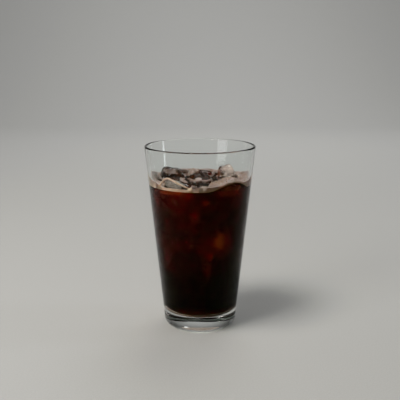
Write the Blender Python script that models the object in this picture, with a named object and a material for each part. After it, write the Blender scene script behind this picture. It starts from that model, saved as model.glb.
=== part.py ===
"""Iced espresso in a tall tapered tumbler.

A thick-footed mixing glass holds black coffee, with a layer of beige crema on top and melting
ice cubes that stick out of it. Metres, +Z up, the table at Z = 0 and the glass's axis on the
Z axis. The front of the drink faces -Y.
"""

import math

import bmesh
import bpy
from mathutils import Euler, Vector, noise

# The glass
glass_height = 0.149
rim_radius = 0.0443
foot_radius = 0.0294
wall_at_rim = 0.0021
wall_at_foot = 0.0030
heel_radius = 0.0045
floor_height = 0.0125
inner_corner_radius = 0.0090
punt_radius = 0.0190
punt_depth = 0.0012
round_steps = 64
punt_steps = 4
arc_steps = 6
sharp_angle = 35

# The drink
clearance = 0.0003
coffee_level = 0.1187
crema_middle = 0.0020
crema_at_wall = 0.0044
crema_bank_width = 0.0090
crema_side_climb = 0.0045
crema_side_width = 0.0040
crema_side_focus = 12
crema_relief = 0.0006
crema_lump_size = 0.0063
crema_froth_size = 0.0024
crema_rings = 9

# The ice: each cube's middle, its sides, its turn in degrees and how much narrower its top is
ice_roundness = 5.0
ice_cuts = 5
ice_dimple = 0.0008
ice_dimple_spread = 0.5
ice_wear = 0.0009
ice_wear_scale = 1.4
ice_to_glass = 0.0013
mould_growth = 0.0004
ice_cubes = {
    "ice_front_left": {
        "middle": (-0.0156, -0.0282, 0.1150), "sides": (0.0235, 0.016, 0.0235), "turn": (0, 20, -29), "taper": 0.06
    },
    "ice_front_right": {
        "middle": (0.0190, -0.0227, 0.1132), "sides": (0.026, 0.018, 0.022), "turn": (-6, -10, 40), "taper": 0.06
    },
    "ice_right_peak": {
        "middle": (0.0232, 0.0085, 0.1196), "sides": (0.021, 0.020, 0.024), "turn": (10, -16, 8), "taper": 0.45
    },
    "ice_back_left": {
        "middle": (-0.0235, 0.0085, 0.1188), "sides": (0.021, 0.021, 0.022), "turn": (-4, 10, 20), "taper": 0.20
    },
    "ice_middle": {
        "middle": (0.0008, 0.0030, 0.1150), "sides": (0.018, 0.018, 0.018), "turn": (18, -6, 8), "taper": 0.05
    },
    "ice_back": {
        "middle": (0.0000, 0.0235, 0.1142), "sides": (0.023, 0.018, 0.021), "turn": (-6, 6, -4), "taper": 0.10
    },
}

outer_slope = (rim_radius - foot_radius) / glass_height
inner_foot_radius = foot_radius - wall_at_foot
inner_slope = (rim_radius - wall_at_rim - inner_foot_radius) / glass_height


def clear_scene():
    for item in list(bpy.data.objects):
        bpy.data.objects.remove(item, do_unlink=True)


def material(name, colour, roughness, transmission=0.0, ior=1.45):
    made = bpy.data.materials.new(name)
    made.use_nodes = True
    shader = made.node_tree.nodes["Principled BSDF"]
    shader.inputs["Base Color"].default_value = (*colour, 1.0)
    shader.inputs["Roughness"].default_value = roughness
    shader.inputs["Metallic"].default_value = 0.0
    shader.inputs["Transmission Weight"].default_value = transmission
    shader.inputs["IOR"].default_value = ior
    made.diffuse_color = (*colour, 1.0)
    return made


def new_object(name, bm, finish):
    mesh = bpy.data.meshes.new(name)
    bmesh.ops.recalc_face_normals(bm, faces=bm.faces)
    bm.to_mesh(mesh)
    bm.free()
    mesh.materials.append(finish)
    mesh.shade_smooth()
    mesh.set_sharp_from_angle(angle=math.radians(sharp_angle))
    made = bpy.data.objects.new(name, mesh)
    bpy.context.scene.collection.objects.link(made)
    return made


def arc(centre, radius, start_deg, end_deg, steps):
    """Points (radius, height) along an arc, its angles counted from outward towards up."""
    points = []
    for step in range(steps + 1):
        angle = math.radians(start_deg + (end_deg - start_deg) * step / steps)
        points.append((centre[0] + radius * math.cos(angle), centre[1] + radius * math.sin(angle)))
    return points


def corner_arc(wall_foot, slope, floor, radius, steps):
    """The round corner between a level floor and a wall whose radius grows by slope."""
    height = floor + radius
    reach = wall_foot + slope * height - radius * math.hypot(1.0, slope)
    return arc((reach, height), radius, -90.0, -math.degrees(math.atan(slope)), steps)


def turned(outline, steps):
    """Spins an outline of (radius, height) points about the axis and closes it there."""
    bm = bmesh.new()
    line = [bm.verts.new((radius, 0.0, height)) for radius, height in outline]
    edges = [bm.edges.new(pair) for pair in zip(line, line[1:])]
    bmesh.ops.spin(
        bm, geom=line + edges, cent=(0, 0, 0), axis=(0, 0, 1), angle=math.tau, steps=steps, use_merge=True
    )
    bmesh.ops.remove_doubles(bm, verts=bm.verts, dist=1e-6)
    return bm


def inner_wall(height):
    return inner_foot_radius + inner_slope * height


def build_tumbler(finish):
    """The glass: a hollow punt, a flat foot ring, a round heel, a straight taper and a round lip."""
    parts = [step / punt_steps for step in range(punt_steps + 1)]
    dome = [(punt_radius * part, punt_depth * (1 - part ** 2)) for part in parts]
    heel = corner_arc(foot_radius, outer_slope, 0.0, heel_radius, arc_steps)
    lip = wall_at_rim / 2
    lip_top = arc((rim_radius - lip, glass_height - lip), lip, 0.0, 180.0, arc_steps)
    corner = corner_arc(inner_foot_radius, inner_slope, floor_height, inner_corner_radius, arc_steps)
    outline = dome + heel + lip_top + corner[::-1] + [(0.0, floor_height)]
    return new_object("tumbler", turned(outline, round_steps), finish)


def build_coffee(finish, ice_moulds):
    """The drink up to its level, hollowed out round the cubes that stick out of it."""
    foot = inner_foot_radius - clearance
    floor = floor_height + clearance
    corner = corner_arc(foot, inner_slope, floor, inner_corner_radius, arc_steps)
    edge = (foot + inner_slope * coffee_level, coffee_level)
    outline = [(0.0, floor)] + corner + [edge, (0.0, coffee_level)]
    coffee = new_object("coffee", turned(outline, round_steps), finish)
    cut_round_ice(coffee, ice_moulds)
    return coffee


def smooth_step(value):
    value = min(max(value, 0.0), 1.0)
    return value * value * (3 - 2 * value)


def crema_thickness(x, y, wall):
    """Thin between the cubes, banked up against the glass, and drawn up it at the left and right."""
    to_wall = wall - math.hypot(x, y)
    bank = smooth_step(1 - to_wall / crema_bank_width)
    climb = abs(x / wall) ** crema_side_focus * smooth_step(1 - to_wall / crema_side_width)
    lumps = noise.noise(Vector((x, y, 0.0)) / crema_lump_size)
    froth = noise.noise(Vector((x, y, crema_froth_size)) / crema_froth_size)
    relief = crema_relief * (lumps + froth / 2)
    return crema_middle + (crema_at_wall - crema_middle) * bank + crema_side_climb * climb + relief


def build_crema(finish, ice_moulds):
    """The beige foam on the coffee, with the cubes coming up through it."""
    bottom = coffee_level + clearance
    wall = inner_wall(bottom) - clearance
    reach = [wall * math.sin(math.pi / 2 * ring / crema_rings) for ring in range(1, crema_rings + 1)]
    top = [(radius, bottom + crema_middle) for radius in reach[::-1]]
    outline = [(0.0, bottom), (wall, bottom)] + top + [(0.0, bottom + crema_middle)]
    bm = turned(outline, round_steps)
    for vertex in bm.verts:
        if vertex.co.z > bottom + clearance:
            thickness = crema_thickness(vertex.co.x, vertex.co.y, wall)
            vertex.co.z = bottom + thickness
            if math.hypot(vertex.co.x, vertex.co.y) > wall - clearance:
                spread = (inner_wall(vertex.co.z) - clearance) / wall
                vertex.co.x *= spread
                vertex.co.y *= spread
    crema = new_object("crema", bm, finish)
    cut_round_ice(crema, ice_moulds)
    return crema


def melted_point(point, half, taper, seed):
    """Takes a point of a unit cube to the worn, rounded cube of ice, dimpled on its upper face."""
    reach = sum(abs(part) ** ice_roundness for part in point) ** (1 / ice_roundness)
    direction = point / reach
    wear = 1 + ice_wear / min(half) * noise.noise(direction * ice_wear_scale + Vector((seed, seed, seed)))
    narrowing = 1 - taper * (direction.z + 1) / 2
    off_centre = math.hypot(direction.x, direction.y) / ice_dimple_spread
    dent = ice_dimple * math.exp(-off_centre ** 2) * (direction.z > 0)
    return Vector((
        direction.x * half[0] * wear * narrowing,
        direction.y * half[1] * wear * narrowing,
        direction.z * half[2] * wear - dent,
    ))


def pressed_to_glass(point, gap):
    """Holds a point that would lie in the wall back to it, so that the ice follows the glass there."""
    reach = math.hypot(point.x, point.y)
    limit = inner_wall(point.z) - gap
    if reach <= limit:
        return point
    return Vector((point.x * limit / reach, point.y * limit / reach, point.z))


def build_ice(name, cube, finish, seed, grown=0.0):
    half = [side / 2 + grown for side in cube["sides"]]
    turn = Euler([math.radians(angle) for angle in cube["turn"]]).to_matrix()
    bm = bmesh.new()
    bmesh.ops.create_cube(bm, size=2.0)
    bmesh.ops.subdivide_edges(bm, edges=bm.edges, cuts=ice_cuts, use_grid_fill=True)
    for vertex in bm.verts:
        point = turn @ melted_point(vertex.co, half, cube["taper"], seed) + Vector(cube["middle"])
        vertex.co = pressed_to_glass(point, ice_to_glass - grown)
    return new_object(name, bm, finish)


def build_ice_moulds(finish):
    """Slightly larger copies of the cubes, which cut their places in the coffee and the crema."""
    moulds = bpy.data.collections.new("ice_moulds")
    bpy.context.scene.collection.children.link(moulds)
    for seed, (name, cube) in enumerate(ice_cubes.items()):
        mould = build_ice(name + "_mould", cube, finish, seed, grown=mould_growth)
        bpy.context.scene.collection.objects.unlink(mould)
        moulds.objects.link(mould)
        mould.hide_render = True
        mould.display_type = "WIRE"
    return moulds


def cut_round_ice(body, ice_moulds):
    cut = body.modifiers.new("ice_places", "BOOLEAN")
    cut.operation = "DIFFERENCE"
    cut.solver = "EXACT"
    cut.operand_type = "COLLECTION"
    cut.collection = ice_moulds


def build_drink():
    clear_glass = material("clear_glass", (0.95, 0.97, 0.96), 0.02, transmission=1.0, ior=1.52)
    black_coffee = material("black_coffee", (0.035, 0.010, 0.004), 0.03, ior=1.34)
    beige_crema = material("beige_crema", (0.50, 0.38, 0.28), 0.45)
    clear_ice = material("clear_ice", (0.90, 0.90, 0.88), 0.06, transmission=1.0, ior=1.31)
    build_tumbler(clear_glass)
    ice_moulds = build_ice_moulds(clear_ice)
    build_coffee(black_coffee, ice_moulds)
    build_crema(beige_crema, ice_moulds)
    for seed, (name, cube) in enumerate(ice_cubes.items()):
        build_ice(name, cube, clear_ice, seed)


clear_scene()
build_drink()
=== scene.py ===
import math
import random

import bmesh
import bpy
from mathutils import Matrix, Vector, noise
from mathutils.bvhtree import BVHTree


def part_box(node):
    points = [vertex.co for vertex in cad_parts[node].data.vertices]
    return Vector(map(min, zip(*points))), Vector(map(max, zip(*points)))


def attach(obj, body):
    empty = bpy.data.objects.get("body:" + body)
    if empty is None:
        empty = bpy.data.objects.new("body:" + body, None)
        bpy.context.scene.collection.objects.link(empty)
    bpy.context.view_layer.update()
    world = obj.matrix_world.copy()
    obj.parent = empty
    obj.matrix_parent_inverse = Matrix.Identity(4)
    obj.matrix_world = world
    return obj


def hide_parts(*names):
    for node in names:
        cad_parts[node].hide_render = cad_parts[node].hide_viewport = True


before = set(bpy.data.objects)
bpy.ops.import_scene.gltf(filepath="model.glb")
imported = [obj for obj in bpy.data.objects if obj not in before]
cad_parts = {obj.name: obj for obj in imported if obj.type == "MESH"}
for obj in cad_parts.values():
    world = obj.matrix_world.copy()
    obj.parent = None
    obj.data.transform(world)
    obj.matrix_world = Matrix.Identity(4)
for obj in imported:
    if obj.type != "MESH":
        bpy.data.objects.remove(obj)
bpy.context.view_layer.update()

print("frame loaded, solids:", ", ".join(sorted(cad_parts)))


# Colours and materials

def linear(hexColour):
    channels = [int(hexColour[i:i + 2], 16) / 255 for i in (1, 3, 5)]
    return [c / 12.92 if c <= 0.04045 else ((c + 0.055) / 1.055) ** 2.4 for c in channels] + [1.0]


def addNode(material, kind, values=None, links=None, **settings):
    node = material.node_tree.nodes.new(kind)
    for name, value in settings.items():
        setattr(node, name, value)
    for name, value in (values or {}).items():
        node.inputs[name].default_value = value
    for name, source in (links or {}).items():
        material.node_tree.links.new(source, node.inputs[name])
    return node


def newMaterial(name):
    material = bpy.data.materials.new(name)
    material.use_nodes = True
    material.node_tree.nodes.clear()
    return material


def fillRamp(ramp, stops):
    elements = ramp.color_ramp.elements
    while len(elements) < len(stops):
        elements.new(0.5)
    for element, (position, hexColour) in zip(elements, stops):
        element.position = position
        element.color = linear(hexColour)


def pattern(material, kind, perMetre, **values):
    # a texture that lies still on its piece, this fine
    place = addNode(material, "ShaderNodeTexCoord")
    return addNode(material, kind, {"Scale": perMetre, **values}, {"Vector": place.outputs["Object"]})


def relief(material, height, strength, depth):
    return addNode(material, "ShaderNodeBump", {"Strength": strength, "Distance": depth}, {"Height": height})


def solidSurface(material, values, links=None):
    body = addNode(material, "ShaderNodeBsdfPrincipled", values, links)
    addNode(material, "ShaderNodeOutputMaterial", links={"Surface": body.outputs[0]})
    return material


def letLampsThrough(material, body, shadowHex, volume=None):
    # lamps shine through the clear piece, so what it holds is lit as in the real glass
    path = addNode(material, "ShaderNodeLightPath")
    clear = addNode(material, "ShaderNodeBsdfTransparent", {"Color": linear(shadowHex)})
    mixed = addNode(material, "ShaderNodeMixShader")
    tree = material.node_tree
    tree.links.new(path.outputs["Is Shadow Ray"], mixed.inputs[0])
    tree.links.new(body.outputs[0], mixed.inputs[1])
    tree.links.new(clear.outputs[0], mixed.inputs[2])
    links = {"Surface": mixed.outputs[0]}
    if volume:
        links["Volume"] = volume.outputs[0]
    addNode(material, "ShaderNodeOutputMaterial", links=links)


glassFinish = {
    "tint": "#F9FBFA",
    "shadow": "#F1F4F2",
    "ior": 1.52,             # soda-lime glass
    "roughness": 0.0,
    "bareMirror": "#A4A4A4",
    "wettedMirror": "#555555",   # against a liquid glass mirrors ten times less than against air
    "waveSize": 0.022,       # slow waves left by the mould
    "waveDepth": 0.00006,
}


def pressedSodaLimeGlass(name, mirrorHex):
    # pressed and fire-polished: bright hard glints, a faint green in the thick foot, slow waves in the walls
    made = newMaterial(name)
    waves = pattern(made, "ShaderNodeTexNoise", 1 / glassFinish["waveSize"], Detail=1.0)
    uneven = relief(made, waves.outputs[0], 1.0, glassFinish["waveDepth"])
    body = addNode(
        made, "ShaderNodeBsdfPrincipled",
        {
            "Base Color": linear(glassFinish["tint"]), "Roughness": glassFinish["roughness"],
            "IOR": glassFinish["ior"], "Transmission Weight": 1.0, "Specular Tint": linear(mirrorHex),
        },
        {"Normal": uneven.outputs[0]},
    )
    letLampsThrough(made, body, glassFinish["shadow"])
    return made


espressoFinish = {
    "ior": 1.34,             # a thin solution in water
    "mirror": "#303030",     # almost all of it lies against glass or ice, where it hardly mirrors
    "roughness": 0.0,
    "passing": "#D98F30",    # what a few millimetres let through: amber
    "density": 900.0,        # per metre, so that 20 mm is all but black
}


def dilutedEspresso():
    # clear liquid that takes out blue and green first: amber in a film, red at the edge, black in the middle
    made = newMaterial("dilutedEspresso")
    body = addNode(
        made, "ShaderNodeBsdfPrincipled",
        {
            "Base Color": linear("#FFFFFF"), "Roughness": espressoFinish["roughness"],
            "IOR": espressoFinish["ior"], "Transmission Weight": 1.0,
            "Specular Tint": linear(espressoFinish["mirror"]),
        },
    )
    depth = addNode(
        made, "ShaderNodeVolumeAbsorption",
        {"Color": linear(espressoFinish["passing"]), "Density": espressoFinish["density"]},
    )
    letLampsThrough(made, body, "#FFFFFF", depth)
    return made


hazeFinish = {
    "tone": "#E8302C",
    "glow": "#FFB87C",       # painted glow: where the veil comes close to the glass by a cube it is painted amber, for light through thin coffee
    "alpha": 0.36,
    "roughness": 0.9,
}


def suspendedFines():
    # oils and the finest grounds hang in the drink: the light they throw back comes out as a deep red glow,
    # with an amber glow painted where the glow attribute is set
    made = newMaterial("suspendedFines")
    glow = addNode(made, "ShaderNodeAttribute", attribute_name="glow")
    colour = addNode(
        made, "ShaderNodeMixRGB",
        {"Color1": linear(hazeFinish["tone"]), "Color2": linear(hazeFinish["glow"])},
        {"Fac": glow.outputs["Fac"]},
    )
    return solidSurface(
        made, {"Roughness": hazeFinish["roughness"], "Alpha": hazeFinish["alpha"], "Specular IOR Level": 0.0},
        {"Base Color": colour.outputs[0]},
    )


cremaFinish = {
    "pale": "#89756D",
    "deep": "#584740",
    "thin": "#C2AB8F",       # painted light: the pale cream of light coming through where it is only a film on clear ice
    "wetCoffee": "#1E0F08",
    "deepUpTo": 0.32,        # the pattern's values where the deep tone ends and the pale one begins
    "paleFrom": 0.66,
    "roughness": 0.38,
    "gloss": 0.25,
    "blotchSize": 0.006,     # where the foam is thicker or thinner
    "bubbleSize": 0.0009,    # the finest bubbles are 0.1 mm; drawn this coarse so that they show
    "bubbleDepth": 0.00022,
    "bubbleTone": 0.22,
    "bubbleRelief": 0.5,
}


def wetCrema():
    # whipped oils and air: matt beige with a wet gloss, darker where it thins and coffee shows through, and
    # painted a pale cream where light comes through it
    made = newMaterial("wetCrema")
    blotches = pattern(made, "ShaderNodeTexNoise", 1 / cremaFinish["blotchSize"], Detail=3.0, Roughness=0.6)
    cells = pattern(made, "ShaderNodeTexVoronoi", 1 / cremaFinish["bubbleSize"], Randomness=1.0)
    tone = addNode(
        made, "ShaderNodeMath", {1: cremaFinish["bubbleTone"]}, {0: cells.outputs["Distance"]},
        operation="MULTIPLY",
    )
    tone = addNode(
        made, "ShaderNodeMath", links={0: blotches.outputs[0], 1: tone.outputs[0]}, operation="ADD",
    )
    beige = addNode(made, "ShaderNodeValToRGB", links={"Fac": tone.outputs[0]})
    stops = [(cremaFinish["deepUpTo"], cremaFinish["deep"]), (cremaFinish["paleFrom"], cremaFinish["pale"])]
    fillRamp(beige, stops)
    cover = addNode(made, "ShaderNodeAttribute", attribute_name="foamCover")
    colour = addNode(
        made, "ShaderNodeMixRGB", {"Color1": linear(cremaFinish["wetCoffee"])},
        {"Fac": cover.outputs["Fac"], "Color2": beige.outputs[0]},
    )
    # painted light: where foamCover is above 1 the colour moves to the pale cream of light coming through the
    # foam
    film = addNode(
        made, "ShaderNodeMath", {1: 1.0}, {0: cover.outputs["Fac"]}, operation="SUBTRACT", use_clamp=True,
    )
    film = addNode(
        made, "ShaderNodeMath", links={0: film.outputs[0], 1: blotches.outputs[0]}, operation="MULTIPLY",
    )
    colour = addNode(
        made, "ShaderNodeMixRGB", {"Color2": linear(cremaFinish["thin"])},
        {"Fac": film.outputs[0], "Color1": colour.outputs[0]},
    )
    froth = relief(made, cells.outputs["Distance"], cremaFinish["bubbleRelief"], cremaFinish["bubbleDepth"])
    return solidSurface(
        made,
        {
            "Roughness": cremaFinish["roughness"], "Subsurface Weight": 0.25, "Subsurface Scale": 0.0012,
            "Coat Weight": cremaFinish["gloss"], "Coat Roughness": 0.15,
        },
        {"Base Color": colour.outputs[0], "Normal": froth.outputs[0]},
    )


iceFinish = {
    "tint": "#FCFDFC",
    "shadow": "#F2F4F3",
    "ior": 1.31,
    "roughness": 0.03,       # wet and melting
    "meltSize": 0.0035,
    "meltDepth": 0.00030,
}


def meltingIce():
    # slow-frozen and wet: clear as glass but softer in its glints, wavy where it melts
    made = newMaterial("meltingIce")
    hollows = pattern(made, "ShaderNodeTexNoise", 1 / iceFinish["meltSize"], Detail=2.0)
    melted = relief(made, hollows.outputs[0], 0.6, iceFinish["meltDepth"])
    body = addNode(
        made, "ShaderNodeBsdfPrincipled",
        {
            "Base Color": linear(iceFinish["tint"]), "Roughness": iceFinish["roughness"],
            "IOR": iceFinish["ior"], "Transmission Weight": 1.0,
        },
        {"Normal": melted.outputs[0]},
    )
    letLampsThrough(made, body, iceFinish["shadow"])
    return made


def trappedAir():
    # air squeezed to the heart of the cube as it froze: a white haze of tiny bubbles
    return solidSurface(newMaterial("trappedAir"), {"Base Color": linear("#E6E4E0"), "Roughness": 0.5})


veilFinish = {"tone": "#D2BFB4", "alpha": 0.22, "roughness": 0.45}


def frostVeil():
    # a crack filled with frozen air: a faint pale sheet that glows where light strikes it; also placed where
    # a cube shows light, as painted highlight and glow
    return solidSurface(
        newMaterial("frostVeil"),
        {
            "Base Color": linear(veilFinish["tone"]), "Roughness": veilFinish["roughness"],
            "Alpha": veilFinish["alpha"],
        },
    )


filmFinish = {
    "deep": "#140904",
    "thin": "#381C0F",
    "ior": 1.34,
    "roughness": 0.20,
    "mirror": 0.16,          # low, so that the lamps glint in it and the pale room does not
    "blotchSize": 0.0035,
    "bubbleSize": 0.0012,
    "bubbleDepth": 0.00018,
    "bubbleRelief": 0.6,
}


def coffeeFilm():
    # the drink drawn up between foam and ice and in the foam's gaps, also painted on the foam's underside as
    # shade: wet and almost black, brown where it is thin, with fine bubbles in it
    made = newMaterial("coffeeFilm")
    blotches = pattern(made, "ShaderNodeTexNoise", 1 / filmFinish["blotchSize"], Detail=2.0)
    cells = pattern(made, "ShaderNodeTexVoronoi", 1 / filmFinish["bubbleSize"], Randomness=1.0)
    tone = addNode(made, "ShaderNodeValToRGB", links={"Fac": blotches.outputs[0]})
    fillRamp(tone, [(0.36, filmFinish["deep"]), (0.64, filmFinish["thin"])])
    froth = relief(made, cells.outputs["Distance"], filmFinish["bubbleRelief"], filmFinish["bubbleDepth"])
    return solidSurface(
        made,
        {
            "Roughness": filmFinish["roughness"], "IOR": filmFinish["ior"],
            "Specular IOR Level": filmFinish["mirror"],
        },
        {"Base Color": tone.outputs[0], "Normal": froth.outputs[0]},
    )


bubbleFinish = {
    "pale": "#9A8577",
    "dark": "#150A05",
    "ior": 1.34,
    "roughness": 0.05,
    "gloss": 0.5,
    "mirror": 0.3,
}


def bubbleSkin():
    # a thin wet skin: it mirrors the lamps in one small glint and shows the coffee or foam under it
    made = newMaterial("bubbleSkin")
    cover = addNode(made, "ShaderNodeAttribute", attribute_name="foamCover")
    colour = addNode(made, "ShaderNodeValToRGB", links={"Fac": cover.outputs["Fac"]})
    fillRamp(colour, [(0.0, bubbleFinish["dark"]), (1.0, bubbleFinish["pale"])])
    return solidSurface(
        made,
        {
            "Roughness": bubbleFinish["roughness"], "IOR": bubbleFinish["ior"],
            "Coat Weight": bubbleFinish["gloss"], "Coat Roughness": 0.03,
            "Specular IOR Level": bubbleFinish["mirror"],
        },
        {"Base Color": colour.outputs[0]},
    )


paperFinish = {"dark": "#B0B0AE", "pale": "#B5B5B3", "fibresPerMetre": 900.0, "roughness": 0.85}


def mattePaper():
    # uncoated studio paper: pale and even, with a faint fleck of fibres and no shine
    made = newMaterial("mattePaper")
    fibres = pattern(made, "ShaderNodeTexNoise", paperFinish["fibresPerMetre"], Detail=2.0)
    tone = addNode(made, "ShaderNodeValToRGB", links={"Fac": fibres.outputs[0]})
    fillRamp(tone, [(0.3, paperFinish["dark"]), (0.7, paperFinish["pale"])])
    return solidSurface(
        made, {"Roughness": paperFinish["roughness"], "Specular IOR Level": 0.2},
        {"Base Color": tone.outputs[0]},
    )


# Making meshes

def pieceFrom(name, bm, material, sharpDegrees=50):
    mesh = bpy.data.meshes.new(name)
    bmesh.ops.recalc_face_normals(bm, faces=bm.faces)
    bm.to_mesh(mesh)
    bm.free()
    mesh.materials.append(material)
    mesh.shade_smooth()
    mesh.set_sharp_from_angle(angle=math.radians(sharpDegrees))
    piece = bpy.data.objects.new(name, mesh)
    bpy.context.scene.collection.objects.link(piece)
    return piece


def dress(piece, slot, *nodes):
    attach(piece, "root")
    if nodes:
        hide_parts(*nodes)


def arcPoints(middle, radius, startDegrees, endDegrees, steps):
    points = []
    for step in range(steps + 1):
        angle = math.radians(startDegrees + (endDegrees - startDegrees) * step / steps)
        points.append((middle[0] + radius * math.cos(angle), middle[1] + radius * math.sin(angle)))
    return points


def cornerArc(wallFoot, slope, floor, radius, steps):
    height = floor + radius
    reach = wallFoot + slope * height - radius * math.hypot(1.0, slope)
    return arcPoints((reach, height), radius, -90.0, -math.degrees(math.atan(slope)), steps)


def turned(outline, steps):
    bm = bmesh.new()
    line = [bm.verts.new((radius, 0.0, height)) for radius, height in outline]
    edges = [bm.edges.new(pair) for pair in zip(line, line[1:])]
    bmesh.ops.spin(
        bm, geom=line + edges, cent=(0, 0, 0), axis=(0, 0, 1), angle=math.tau, steps=steps, use_merge=True
    )
    bmesh.ops.remove_doubles(bm, verts=bm.verts, dist=1e-6)
    return bm


def heldStraight(start, end, hold=0.0003, spacing=0.006):
    # points along a straight run, close at its ends, so that smooth shading does not bend it
    length = math.dist(start, end)
    count = max(1, round(length / spacing))
    stops = [hold / length] + [step / count for step in range(1, count)] + [1 - hold / length]
    return [(start[0] + (end[0] - start[0]) * part, start[1] + (end[1] - start[1]) * part) for part in stops]


def settled(piece):
    # the mesh as its modifiers leave it
    graph = bpy.context.evaluated_depsgraph_get()
    mesh = bpy.data.meshes.new_from_object(piece.evaluated_get(graph))
    piece.modifiers.clear()
    old = piece.data
    piece.data = mesh
    bpy.data.meshes.remove(old)


def dropStrayFaces(piece, fewest=50):
    # takes out the folded slivers and loose crumbs that a cut leaves
    bm = bmesh.new()
    bm.from_mesh(piece.data)
    bmesh.ops.remove_doubles(bm, verts=bm.verts, dist=1e-7)
    bmesh.ops.triangulate(bm, faces=bm.faces)
    alike = {}
    for face in bm.faces:
        alike.setdefault(frozenset(face.verts), []).append(face)
    folded = [face for faces in alike.values() if len(faces) > 1 for face in faces]
    bmesh.ops.delete(bm, geom=folded, context="FACES")
    waiting = set(bm.faces)
    crumbs = []
    for first in list(bm.faces):
        if first not in waiting:
            continue
        waiting.discard(first)
        island = [first]
        for face in island:
            fresh = {near for edge in face.edges for near in edge.link_faces} & waiting
            waiting -= fresh
            island += sorted(fresh, key=lambda near: near.index)
        if len(island) < fewest:
            crumbs += island
    bmesh.ops.delete(bm, geom=crumbs, context="FACES")
    bm.to_mesh(piece.data)
    bm.free()


def cutAway(piece, cutters):
    group = bpy.data.collections.new("cutters")
    bpy.context.scene.collection.children.link(group)
    for cutter in cutters:
        group.objects.link(cutter)
    cut = piece.modifiers.new("cut", "BOOLEAN")
    cut.operation = "DIFFERENCE"
    cut.solver = "MANIFOLD"
    cut.operand_type = "COLLECTION"
    cut.collection = group
    settled(piece)
    dropStrayFaces(piece)
    piece.data.set_sharp_from_angle(angle=math.radians(40))
    while len(piece.data.materials) > 1:     # the cut faces come with the cutter's material
        piece.data.materials.pop(index=len(piece.data.materials) - 1)
    piece.data.polygons.foreach_set("material_index", [0] * len(piece.data.polygons))
    for cutter in cutters:
        bpy.data.objects.remove(cutter)
    bpy.data.collections.remove(group)


def manyBalls(name, balls, material):
    # balls: middle, radius, flatness and foam cover of each
    unit = bmesh.new()
    bmesh.ops.create_icosphere(unit, subdivisions=2, radius=1.0)
    unit.verts.ensure_lookup_table()
    shape = [vertex.co.copy() for vertex in unit.verts]
    corners = [[vertex.index for vertex in face.verts] for face in unit.faces]
    unit.free()
    points, faces, covers = [], [], []
    for middle, radius, flatness, cover in balls:
        first = len(points)
        points += [middle + Vector((p.x, p.y, p.z * flatness)) * radius for p in shape]
        faces += [[first + corner for corner in face] for face in corners]
        covers += [cover] * len(shape)
    mesh = bpy.data.meshes.new(name)
    mesh.from_pydata(points, [], faces)
    mesh.materials.append(material)
    mesh.shade_smooth()
    setValues(mesh, "foamCover", covers)
    piece = bpy.data.objects.new(name, mesh)
    bpy.context.scene.collection.objects.link(piece)
    return piece


def setValues(mesh, name, values):
    # one number for each point, which a material reads by its name
    mesh.attributes.new(name, "FLOAT", "POINT").data.foreach_set("value", values)


def smoothStep(value):
    value = min(max(value, 0.0), 1.0)
    return value * value * (3 - 2 * value)


# The glass

hair = 0.0001            # what lies this near a surface counts as lying on it
espresso = {
    "intoWall": 0.00015,
    "level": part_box("coffee")[1][2],
    "touching": 0.00001,
    "steps": 180,
}
tumbler = {
    "footRadius": 0.0294,
    "wallAtRim": 0.0021,
    "wallAtFoot": 0.0030,
    "heelRadius": 0.0045,
    "floorHeight": 0.0125,
    "cornerRadius": 0.0090,
    "puntRadius": 0.0190,
    "puntDepth": 0.0012,
    "puntSteps": 12,
    "heelSteps": 14,
    "cornerSteps": 18,
    "steps": 180,
}
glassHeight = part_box("tumbler")[1][2]
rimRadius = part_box("tumbler")[1][0]
outerSlope = (rimRadius - tumbler["footRadius"]) / glassHeight
innerFoot = tumbler["footRadius"] - tumbler["wallAtFoot"]
innerSlope = (rimRadius - tumbler["wallAtRim"] - innerFoot) / glassHeight


def innerWall(height):
    return innerFoot + innerSlope * height


def innerCorner(foot, floor):
    return cornerArc(foot, innerSlope, floor, tumbler["cornerRadius"], tumbler["cornerSteps"])


def makeTumbler():
    steps = tumbler["puntSteps"]
    punt = [
        (tumbler["puntRadius"] * step / steps, tumbler["puntDepth"] * (1 - (step / steps) ** 2))
        for step in range(steps + 1)
    ]
    heel = cornerArc(tumbler["footRadius"], outerSlope, 0.0, tumbler["heelRadius"], tumbler["heelSteps"])
    lip = tumbler["wallAtRim"] / 2
    rim = arcPoints((rimRadius - lip, glassHeight - lip), lip, 0.0, 180.0, tumbler["heelSteps"])
    waterline = (innerWall(espresso["level"]), espresso["level"])
    corner = innerCorner(innerFoot, tumbler["floorHeight"])[::-1]
    middle = (0.0, tumbler["floorHeight"])
    outline = punt + heldStraight(punt[-1], heel[0]) + heel + heldStraight(heel[-1], rim[0]) + rim
    outline += heldStraight(rim[-1], waterline) + [waterline] + heldStraight(waterline, corner[0]) + corner
    outline += heldStraight(corner[-1], middle) + [middle]
    bare = pressedSodaLimeGlass("pressedSodaLimeGlass", glassFinish["bareMirror"])
    wetted = pressedSodaLimeGlass("wettedSodaLimeGlass", glassFinish["wettedMirror"])
    piece = pieceFrom("tumblerGlass", turned(outline, tumbler["steps"]), bare)
    piece.data.materials.append(wetted)
    for face in piece.data.polygons:
        reach = math.hypot(face.center.x, face.center.y)
        inside = face.center.z > tumbler["floorHeight"] - hair and reach < innerWall(face.center.z) + hair
        face.material_index = 1 if inside and face.center.z < espresso["level"] else 0
    dress(piece, "clear_glass", "tumbler")


# The ice

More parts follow.
